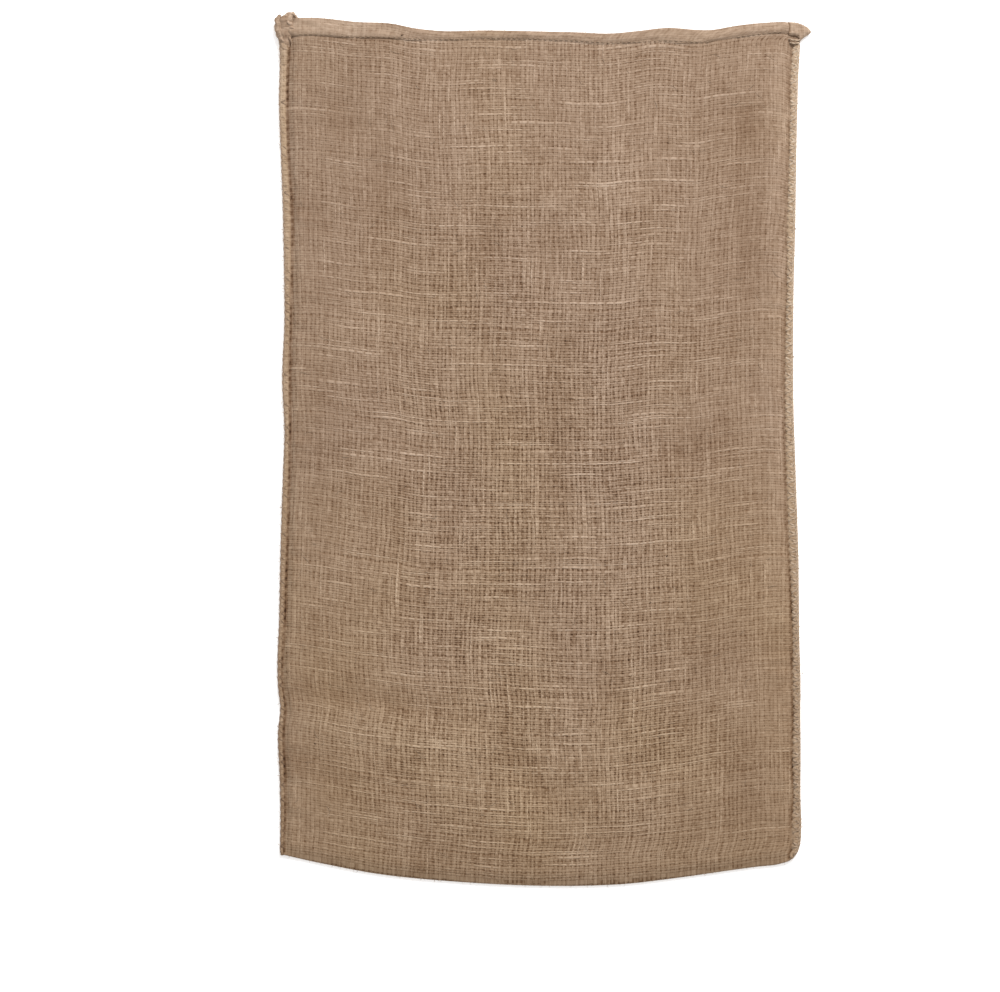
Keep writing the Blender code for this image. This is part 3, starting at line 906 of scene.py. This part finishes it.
class Seam:
    """One side's seam: its table, the way from its edge to the cloth, and its stitches."""

    def __init__(self, table, narrower, scallops, shoulder_from, way, drift, lift):
        self.table = table
        self.narrower = narrower
        self.scallops = scallops
        self.shoulder_from = shoulder_from
        self.way = way
        self.drift = drift
        self.lift = lift
        self.low = table[0][0]
        self.high = table[-1][0]

    def outer(self, y):
        return along(self.table, y, 1)

    def inner(self, y):
        width = along(self.table, y, 2) - self.narrower
        return self.outer(y) + self.way * (width - scallop(y, self.drift, self.scallops))

    def height(self, y):
        return SLOT_LOW + SLOT_HEIGHT + 2 * PITCH * self.lift(y + 9) + TWINE_WALL

    def roll(self, name, bulge, slant, shade, fading, inner_painted_shade, painted_shade_from):
        """The rolled edges of both plies, which bulge between the stitches."""
        levels = np.arange(self.low, self.high, STITCH / ROLL_STEPS)
        turn = np.cos(np.arange(ROLL_POINTS) * math.tau / ROLL_POINTS)
        rings = []
        shades = []
        for y in levels:
            outer = self.outer(y)
            inner = self.inner(y)
            wave = bulge * (stitch_wave(y + slant * turn, self.drift) - 0.5)
            height = self.height(y) - UNDER_TWINE
            x, z = roll_section(outer, inner, height, wave, self.shoulder_from)
            rings.append(np.stack([x, np.full(len(x), y), z], axis=1))
            # Painted shade on the roll's inner side, in the groove where it meets the cloth.
            inward = np.abs(x - outer) / abs(inner - outer)
            painted_shade = 1 - inner_painted_shade * smooth((inward - painted_shade_from) / (1 - painted_shade_from))
            shades.append(shade * (1 + fading * y / 500) * painted_shade)
        first = rings[0]
        middle = first.mean(axis=0)
        ends = [
            middle + (first - middle) * (size, 1, size) - (0, past, 0) for size, past in ROLL_END
        ]
        lengths = np.concatenate([[levels[0]] * len(ends), levels]) * MM - 1.0
        turns = np.linspace(0, ROLL_GIRTH, len(first) + 1)
        shades = np.array([shades[0]] * len(ends) + shades)
        return loft(name, ends + rings, turns, lengths, shades, ROLL_WORN)

    def zigzag(self, name, radius, lean, sunk, reach, below, fading=0.0):
        """The twine over the roll's top (or its underside), hole to edge to hole."""
        holes = stitches(self.low + 2, self.high - 1, self.drift)
        draw = np.random.default_rng(ZIGZAG_SEED)
        path = []
        radii = []
        shades = []
        for first, second in zip(holes, holes[1:]):
            peak = lean + LEAN_SPREAD * (draw.random() - 0.5)
            further = REACH_SPREAD * (draw.random() - 0.5)
            deeper = DEPTH_SPREAD * (draw.random() - 0.5)
            radii += [radius * (THICKNESS[0] + THICKNESS[1] * draw.random())] * ZIGZAG_STEPS
            shade = TWINE_SHADE[0] + TWINE_SHADE[1] * draw.random()
            shades += [shade * (1 + fading * first / 500)] * ZIGZAG_STEPS
            for step in range(ZIGZAG_STEPS):
                share = step / ZIGZAG_STEPS
                out = share / peak if share < peak else (1 - share) / (1 - peak)
                out = smooth(out) * 0.5 + out * 0.5
                y = first + (second - first) * share
                inner = float(self.inner(y))
                outer = float(self.outer(y))
                x = inner + (outer + self.way * (reach + further) - inner) * out
                if below:
                    z = radius * 0.8
                else:
                    height = float(self.height(y)) - UNDER_TWINE
                    inward = abs(x - outer) / abs(inner - outer)
                    z = float(roll_top(inward, height, self.shoulder_from))
                    z += radius * (1 - 2 * sunk) + deeper
                    z -= HOLE_DIP * math.exp(-((out / HOLE_RUN) ** 2))
                path.append((x, y, z))
        radii = np.convolve(np.pad(radii, 3, mode="edge"), np.ones(7) / 7, mode="valid")
        return tube(name, path, radii, 7, shades)

    def edge_cord(self, name, radius, inset, rise, shade, fading):
        """The cord of the twine's loops along the seam's outer edge."""
        y = np.arange(self.low + 2, self.high, 1.5)
        beat = stitch_wave(y + STITCH / 2, self.drift) - 0.5
        x = self.outer(y) + self.way * (inset - CORD_BEAT[0] * beat)
        z = self.height(y) * rise + CORD_BEAT[1] * beat
        shades = shade * (1 + fading * y / 500)
        return tube(name, np.stack([x, y, z], axis=1), radius, 9, shades)


def twine(name, plies, lay, colours, contrast):
    """Twisted jute: so many plies round the strand, each turning once in lay metres."""
    finish = Finish(name, 0.9)
    turn, length = finish.pattern()
    tone = finish.stored("tone")
    ply = finish.plus(finish.times(turn, plies), (length, plies / lay))
    ply_at = finish.calc("FRACT", finish.calc("ADD", ply, 400.0))
    hump = finish.hump(ply_at)
    fibre = finish.noise(ply, 6.0, length, 160.0, 2.0)
    slow = finish.noise_line(length, 55.0)
    # Each ply is paler along its middle and darker in the grooves between plies: painted shade.
    shade = finish.plus(1.0 - contrast * 0.8, (finish.ease(hump, 0.0, 0.8), contrast))
    shade = finish.times(finish.plus(shade, (fibre, 0.12), (slow, 0.06)), tone)
    return finish.finish(shade, finish.plus(hump, (fibre, 0.18)), 0.0005, 0.8, colours)


PALE_TWINE = (
    (0.0, (0.045, 0.024, 0.012)),
    (0.5, (0.190, 0.120, 0.072)),
    (1.0, (0.420, 0.315, 0.225)),
    (1.6, (0.580, 0.470, 0.360)),
    (2.0, (0.640, 0.540, 0.430)),
)
left = Seam(LEFT_SEAM, ROLL_NARROWER, LEFT_SCALLOP, SHOULDER_FROM, 1, LEFT_DRIFT, tuft_lift)
right = Seam(RIGHT_SEAM, 0.0, RIGHT_SCALLOP, 0.74, -1, RIGHT_DRIFT, lambda y: 0.0)
pale_twine = twine("jute_twine_pale", 2, 0.010, PALE_TWINE, 0.35)
brown_twine = twine("jute_twine_brown", 2, 0.010, JUTE, 0.4)
rolled_edge = twine("jute_rolled_edge", 9, 0.110, JUTE, 0.12)
right_parts = (
    (right.roll("right_seam_roll", 0.4, 1.0, 1.44, 0.12, 0.40, 0.82), hessian_finish),
    (right.zigzag("right_seam_twine", 1.7, 0.5, 0.82, 2.2, False, 0.22), pale_twine),
    (right.zigzag("right_seam_under_twine", 0.9, 0.5, 0.3, 2.4, True), pale_twine),
    (right.edge_cord("right_seam_edge_cord", 1.2, 2.0, 0.8, 0.92, 0.20), pale_twine),
)
left_parts = (
    (left.roll("left_seam_roll", 0.5, 2.4, 1.38, 0.21, 0.55, 0.50), hessian_finish),
    (left.zigzag("left_seam_twine", 1.1, 0.7, 1.02, 1.6, False, 0.24), rolled_edge),
    (left.zigzag("left_seam_under_twine", 0.8, 0.72, 0.4, 1.6, True), brown_twine),
    (left.edge_cord("left_seam_edge_cord", 1.2, 0.5, 0.62, 1.22, 0.24), brown_twine),
)
for parts, node in ((right_parts, "side_seam_right"), (left_parts, "side_seam_left")):
    for part, part_finish in parts:
        part.data.materials.append(part_finish)
        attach(part, "root")
        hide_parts(node)

# ------------------------------------------------------------------ left mouth tuft
# At the left mouth corner the end of the hem and the end of the seam's roll are wound into each
# other: a thick body at the end of the roll, soft lobes beside and over it, and a gathered strand
# and a tail that run into the hem and down the seam.
TUFT_WORN = 0.6
# The tuft's body shows only in the hollows between its lobes and is painted darker than them:
# painted shade.
TUFT_HOLLOW_SHADE = 1.12
TUFT_UNEVEN = 0.5
TUFT_RINGS = 30
TUFT_PATTERN = (0.980, 1.010)
LOBE_SIDES = 18
LOBE_ROUGH = 0.15
# Body of the tuft: along y, outer edge x, inner edge x, height.
TUFT_BODY = (
    (474, -297.4, -288.6, 5), (485, -298.2, -286.5, 8.8), (492, -299, -284.5, 10.2),
    (500, -300.5, -281.6, 11), (508, -301, -280.2, 11.2), (514, -300.6, -280.2, 10.8),
    (516.6, -298.6, -281.2, 9.6), (518.6, -295.2, -283, 8),
)
# Lobes of the tuft: points along each as x, y, z, radius.
TUFT_LOBES = (
    (
        (-293.6, 476, 4.6, 3), (-296, 486, 5.2, 4), (-299.2, 495, 5.8, 4.6),
        (-300.9, 504, 6.2, 4.2), (-301.2, 511, 6.4, 3.6), (-300.2, 516, 6.2, 2.6),
        (-298.4, 518.4, 5.8, 1.3),
    ),
    (
        (-284, 497, 6.6, 1.8), (-287.4, 502, 7, 3.4), (-289.4, 507.6, 7.2, 4.4),
        (-289.2, 512.6, 7, 4.6), (-287.2, 516.8, 6.6, 3.8), (-284.4, 520.4, 6.2, 2.2),
        (-283.4, 522.2, 6, 0.9),
    ),
    (
        (-294.6, 512.6, 8.2, 0.9), (-293.6, 516, 8, 1.6), (-290, 518.8, 7.6, 1.9),
        (-285.6, 519, 7.6, 2), (-281, 515.8, 7.2, 1.9), (-276, 510.6, 6.8, 1.6),
        (-270, 507.4, 6.8, 0.9),
    ),
    (
        (-299.6, 496.4, 7.6, 1.5), (-294.4, 499.4, 8.2, 2), (-289, 502.2, 8.6, 2.2),
        (-282, 500.6, 8.2, 1.9), (-273, 495.6, 7.2, 1.2),
    ),
    (
        (-293, 501, 7.4, 1.2), (-289.8, 494.6, 7.2, 2), (-286.8, 487, 6.2, 1.6),
        (-285.4, 479, 4.6, 0.9),
    ),
)
# Name and shade of each lobe.
LOBE_SHADES = (("roll", 1.36), ("lobe", 1.56), ("rim", 1.50), ("strand", 1.36), ("tail", 1.16))
PATH_STEPS = 8


def through(rows, steps):
    """A smooth path through a few points, each with a radius."""
    rows = np.array(rows)
    keyed = np.column_stack([np.arange(len(rows)) * 1.0, rows])
    at = np.linspace(0, len(rows) - 1, steps * (len(rows) - 1) + 1)
    return np.stack([along(keyed, at, column) for column in range(1, 5)], axis=1)


rings = []
for y in np.linspace(TUFT_BODY[0][0], TUFT_BODY[-1][0], TUFT_RINGS):
    outer, inner, height = (float(along(TUFT_BODY, y, column)) for column in (1, 2, 3))
    x, z = roll_section(outer, inner, height, 0.0)
    z = z + TUFT_UNEVEN * undulate(x, y, 51, 10, 5.0, 16.0) * (z > 2)
    rings.append(np.stack([x, np.full(len(x), y), z], axis=1))
turns = np.linspace(0, ROLL_GIRTH, ROLL_POINTS + 1)
shades = np.full((TUFT_RINGS, ROLL_POINTS), TUFT_HOLLOW_SHADE)
lengths = np.linspace(*TUFT_PATTERN, TUFT_RINGS)
tuft_parts = [loft("left_mouth_tuft", rings, turns, lengths, shades, TUFT_WORN)]
for (name, shade), lobe in zip(LOBE_SHADES, TUFT_LOBES):
    path = through(lobe, PATH_STEPS)
    girth = math.tau * float(path[:, 3].max()) * MM
    looks = (LOBE_SIDES, shade, LOBE_ROUGH, girth, 1.0, TUFT_WORN)
    tuft_parts.append(tube("left_mouth_" + name, path[:, :3], path[:, 3], *looks))
for part in tuft_parts:
    part.data.materials.append(hessian_finish)
    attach(part, "root")
    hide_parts("side_seam_left")

# ------------------------------------------------------------------ right mouth ear
# At the right mouth corner the hem's end stands out past the seam as a pointed ear. Its last
# 2.5 cm is folded over once more and stitched flat, so that it is thicker and smoother, and two
# turns of the seam's twine hold its neck.
EAR_FOLD = 285.0
EAR_RISE_ABOVE = 0.75
# It is fullest in its middle, and comes down at its top edge, its tip and its lower edge.
EAR_PUFF = 0.9
EAR_TOP_DROP = 2.9
EAR_TIP_DROP = 2.6
EAR_LOW_DROP = 1.2
EAR_THICK = 0.8
EAR_UNEVEN = 0.16
EAR_COLUMNS = 26
EAR_ROWS = 22
EAR_MARGIN = 0.9
EAR_WORN = 0.5
EAR_SHADE = 1.55
# Painted shade along its creases, at the fold and half-way out: share of the way out, width, depth.
EAR_CREASE_SHADES = ((0.0, 0.07, 0.55), (0.55, 0.08, 0.20))
# Turns of twine round the ear's neck: points along each as x, y, z, radius.
EAR_TURNS = (
    (
        (286, 489.8, 6.8, 0.9), (291, 487.9, 7.9, 1.1), (296, 487.6, 7.6, 1.1),
        (299.6, 489.6, 4.2, 0.9),
    ),
    (
        (287.4, 485.4, 6.4, 0.9), (291.6, 483.9, 7.6, 1.1), (295.6, 484.2, 7.2, 1.1),
        (298.6, 486.4, 4, 0.9),
    ),
)
EAR_TWINE_SHADE = 0.95
ear_share = np.linspace(0, 1, EAR_COLUMNS)
by_tip = 1 - ear_share
ear_points = []
ear_layout = []
for row in range(EAR_ROWS + 1):
    down = row / EAR_ROWS
    x = EAR_FOLD + (EAR_TIP - EAR_FOLD) * ear_share
    top = along(MOUTH, x, 1)
    low = top - along(MOUTH, x, 2) - 1.8
    y = top + EAR_MARGIN - (top + EAR_MARGIN - low) * down
    edge = right_edge(y) + EAR_MARGIN
    x = EAR_FOLD + (edge - EAR_FOLD) * ear_share + 1.6 * np.sin(down * 3.0) * by_tip
    front = EDGE_BACK + PITCH + PITCH + HALF
    z = front + EAR_PUFF * smooth(down * 6) * smooth((1 - down) * 5) * smooth(by_tip * 4)
    z = z + EAR_RISE_ABOVE - EAR_TOP_DROP * (1 - smooth(down * 9))
    z -= EAR_TIP_DROP * (1 - smooth(by_tip * 9))
    z -= EAR_LOW_DROP * smooth((down - 0.88) / 0.12)
    z += EAR_UNEVEN * undulate(x, y, 61, 12, 5.0, 16.0)
    ear_points.append(np.stack([x, y, z], axis=1) * MM)
    ear_layout.append(np.stack([x, y], axis=1) * MM)
ear_faces = grid_faces(EAR_ROWS + 1, EAR_COLUMNS)[:, ::-1]
ear_uvs = np.array(ear_layout).reshape(-1, 2)[ear_faces]
ear_crease_shade = sum(depth * bell((ear_share - at) / width) for at, width, depth in EAR_CREASE_SHADES)
ear_shades = EAR_SHADE * np.tile(1.0 - ear_crease_shade, EAR_ROWS + 1)
ear_points = np.array(ear_points)
ear = mesh_object(
    "right_mouth_ear", ear_points, ear_faces.tolist(), ear_uvs, ear_shades, EAR_WORN
)
thicken = ear.modifiers.new("thickness", "SOLIDIFY")
thicken.thickness = EAR_THICK * MM
thicken.offset = 0.0
apply_modifiers(ear)
ear.data.materials.append(hessian_finish)
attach(ear, "root")
for number, turn in enumerate(EAR_TURNS):
    path = through(turn, PATH_STEPS)
    part = tube(f"right_ear_turn_{number + 1}", path[:, :3], path[:, 3], 9, EAR_TWINE_SHADE)
    part.data.materials.append(pale_twine)
    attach(part, "root")

# ------------------------------------------------------------------ stray fibres
# Jute always sheds. Short fibres stand out along the seams, the mouth and the fold, and longer
# ones lie on the front. A few scraps of dark stalk are caught in the weave.
FIBRE_RADIUS = 0.18
FIBRE_STEPS = 6
FIBRE_CORNERS = 3
FIBRE_LOWEST = 0.4
LYING_COUNT = 320
SEAM_COUNT = 190
MOUTH_COUNT = 150
FOLD_COUNT = 70
TUFT_COUNT = 50
STALK_RADIUS = 0.55
# Scraps of stalk: across x, along y, length.
SPECKS = (
    (-160.6, 491.4, 2.6), (-259.2, -355.8, 2.2), (123.9, -189, 3), (231.7, -469.8, 2.2),
    (143.4, -133.8, 2.4), (-22, 262, 2), (-120, 150, 1.8), (60, -330, 2),
)
fibre_draw = np.random.default_rng(17)


def spread(low, high, count):
    return low + (high - low) * fibre_draw.random(count)


def front_top(x, y):
    """z of the sack's front at points, over the hem as well."""
    flat_x = x.ravel()
    flat_y = y.ravel()
    at = Cloth((flat_x - left_edge(flat_y)) / (right_edge(flat_y) - left_edge(flat_y)))
    on_hem = flat_y > at.mouth - at.hem
    return (at.front_z(flat_y) + HALF + (PITCH + 0.7) * on_hem).reshape(x.shape)


def strands(name, x, y, z, radii, finish):
    """One object of many fine strands, thin at both tips: x, y and z by strand and step."""
    paths = np.stack([x, y, z], axis=2)
    count, steps, _ = paths.shape
    ways = np.gradient(paths, axis=1)
    ways /= np.linalg.norm(ways, axis=2, keepdims=True)
    sides = np.cross(ways, (0.13, 0.21, 1.0))
    sides /= np.linalg.norm(sides, axis=2, keepdims=True)
    ups = np.cross(sides, ways)
    taper = 1 - 0.7 * np.abs(np.linspace(-1, 1, steps)) ** 3
    turn = (np.arange(FIBRE_CORNERS) * math.tau / FIBRE_CORNERS)[:, None]
    rings = np.cos(turn) * sides[:, :, None] + np.sin(turn) * ups[:, :, None]
    rings = paths[:, :, None] + radii[:, None, None, None] * taper[:, None, None] * rings
    points = steps * FIBRE_CORNERS
    last = points - FIBRE_CORNERS
    one = []
    for low in range(0, last, FIBRE_CORNERS):
        high = low + FIBRE_CORNERS
        for step in range(FIBRE_CORNERS):
            after = (step + 1) % FIBRE_CORNERS
            one.append((low + step, low + after, high + after, high + step))
    one += [(2, 1, 0), (last, last + 1, last + 2)]
    faces = [[corner + first * points for corner in face] for first in range(count) for face in one]
    uvs = np.zeros((sum(len(face) for face in faces), 2))
    made = mesh_object(name, rings * MM, faces, uvs, np.ones(count * points))
    made.data.materials.append(finish)
    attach(made, "root")
    return made


def curled(x, y, heading, lengths, bend):
    """Paths in the plane from start points, each curling by its own bend."""
    share = np.linspace(0, 1, FIBRE_STEPS)
    angle = heading[:, None] + bend[:, None] * (share - 0.3)
    step = lengths[:, None] / (FIBRE_STEPS - 1)
    return (
        x[:, None] + np.cumsum(np.cos(angle) * step, axis=1),
        y[:, None] + np.cumsum(np.sin(angle) * step, axis=1),
    )


def loose_fibres(name, x, y, facing, longest, z_low, z_high, turns=(-1.2, 1.2)):
    """Fibres that stand out of an edge into the air, each turned a little from its facing."""
    count = len(x)
    heading = facing + spread(*turns, count)
    lengths = longest * (0.35 + 0.65 * fibre_draw.random(count) ** 2)
    path_x, path_y = curled(x, y, heading, lengths, spread(-1.6, 1.6, count))
    start = spread(z_low, z_high, count)[:, None]
    rise = start + spread(-1.2, 1.6, count)[:, None] * np.linspace(0, 1, FIBRE_STEPS)
    rise = np.maximum(rise, FIBRE_LOWEST)
    radii = FIBRE_RADIUS * spread(0.7, 1.3, count)
    made = strands(name, path_x, path_y, rise, radii, fibre_finish)


def plain_finish(name, colour):
    finish = Finish(name, 0.9)
    set_inputs(finish.shader, {"Base Color": (*colour, 1)})
    return finish.made


fibre_finish = plain_finish("jute_fibre", (0.36, 0.26, 0.18))
stalk_finish = plain_finish("jute_stalk", (0.050, 0.024, 0.012))

# Fibres that lie on the front.
x = spread(-282.0, 280.0, LYING_COUNT)
y = spread(-486.0, 484.0, LYING_COUNT)
heading = spread(0, math.tau, LYING_COUNT)
lengths = spread(4.0, 15.0, LYING_COUNT)
path_x, path_y = curled(x, y, heading, lengths, spread(-2.4, 2.4, LYING_COUNT))
arch = np.sin(math.pi * np.linspace(0, 1, FIBRE_STEPS))
over = front_top(path_x, path_y) + 0.12 + spread(0.0, 0.9, LYING_COUNT)[:, None] * arch
radii = FIBRE_RADIUS * spread(0.7, 1.3, LYING_COUNT)
lying = strands("front_fibres", path_x, path_y, over, radii, fibre_finish)

# Fibres that stand out of the seams, the mouth, the fold and the tuft.
y = spread(-482.0, 512.0, SEAM_COUNT)
loose_fibres("left_seam_fibres", left_edge(y) - 1.6, y, math.pi, 7.0, 1.6, 6.4)
y = spread(-478.0, 482.0, SEAM_COUNT)
loose_fibres("right_seam_fibres", right_edge(y) + 1.6, y, 0.0, 7.0, 1.6, 6.4)
x = spread(-292.0, 306.0, MOUTH_COUNT)
loose_fibres("mouth_fibres", x, along(MOUTH, x, 1) - 0.6, math.pi / 2, 6.0, 2.0, 9.0)
x = spread(-292.0, 284.0, FOLD_COUNT)
loose_fibres("fold_fibres", x, along(BOTTOM, x, 1) + 0.6, -math.pi / 2, 3.6, 1.0, 4.0)
x = spread(-302.0, -280.0, TUFT_COUNT)
y = 516.0 + spread(-6.0, 3.0, TUFT_COUNT)
loose_fibres("tuft_fibres", x, y, math.pi / 2, 7.0, 6.0, 10.0, (-1.4, 1.8))

# Scraps of stalk.
speck_x, speck_y, lengths = np.array(SPECKS).T
heading = spread(-0.5, 0.5, len(SPECKS))
path_x, path_y = curled(speck_x, speck_y, heading, lengths, np.zeros(len(SPECKS)))
over = front_top(path_x, path_y) + 0.1
radii = np.full(len(SPECKS), STALK_RADIUS)
stalks = strands("stalk_specks", path_x, path_y, over, radii, stalk_finish)

# ------------------------------------------------------------------ hem stitches
# The front hem is held by one row of running stitches in jute thread, just above its raw edge.
# Each stitch shows as a short dash, whose two ends sink into the cloth.
HEM_STITCH = 6.0
HEM_DASH = 0.34
HEM_THREAD = 0.42
STITCH_ABOVE = 1.9
STITCH_SUNK = 0.75
x = np.arange(left_line(500.0) + 12, EAR_FOLD - 4, HEM_STITCH)
dash = np.linspace(-HEM_DASH, HEM_DASH, FIBRE_STEPS) * HEM_STITCH
path_x = x[:, None] + dash
path_y = along(MOUTH, path_x, 1) - along(MOUTH, path_x, 2) + STITCH_ABOVE
over = front_top(path_x, path_y) - STITCH_SUNK - 0.5 * (np.abs(dash) / dash[-1]) ** 4
radii = np.full(len(x), HEM_THREAD)
thread = strands("hem_stitches", path_x, path_y, over, radii, fibre_finish)
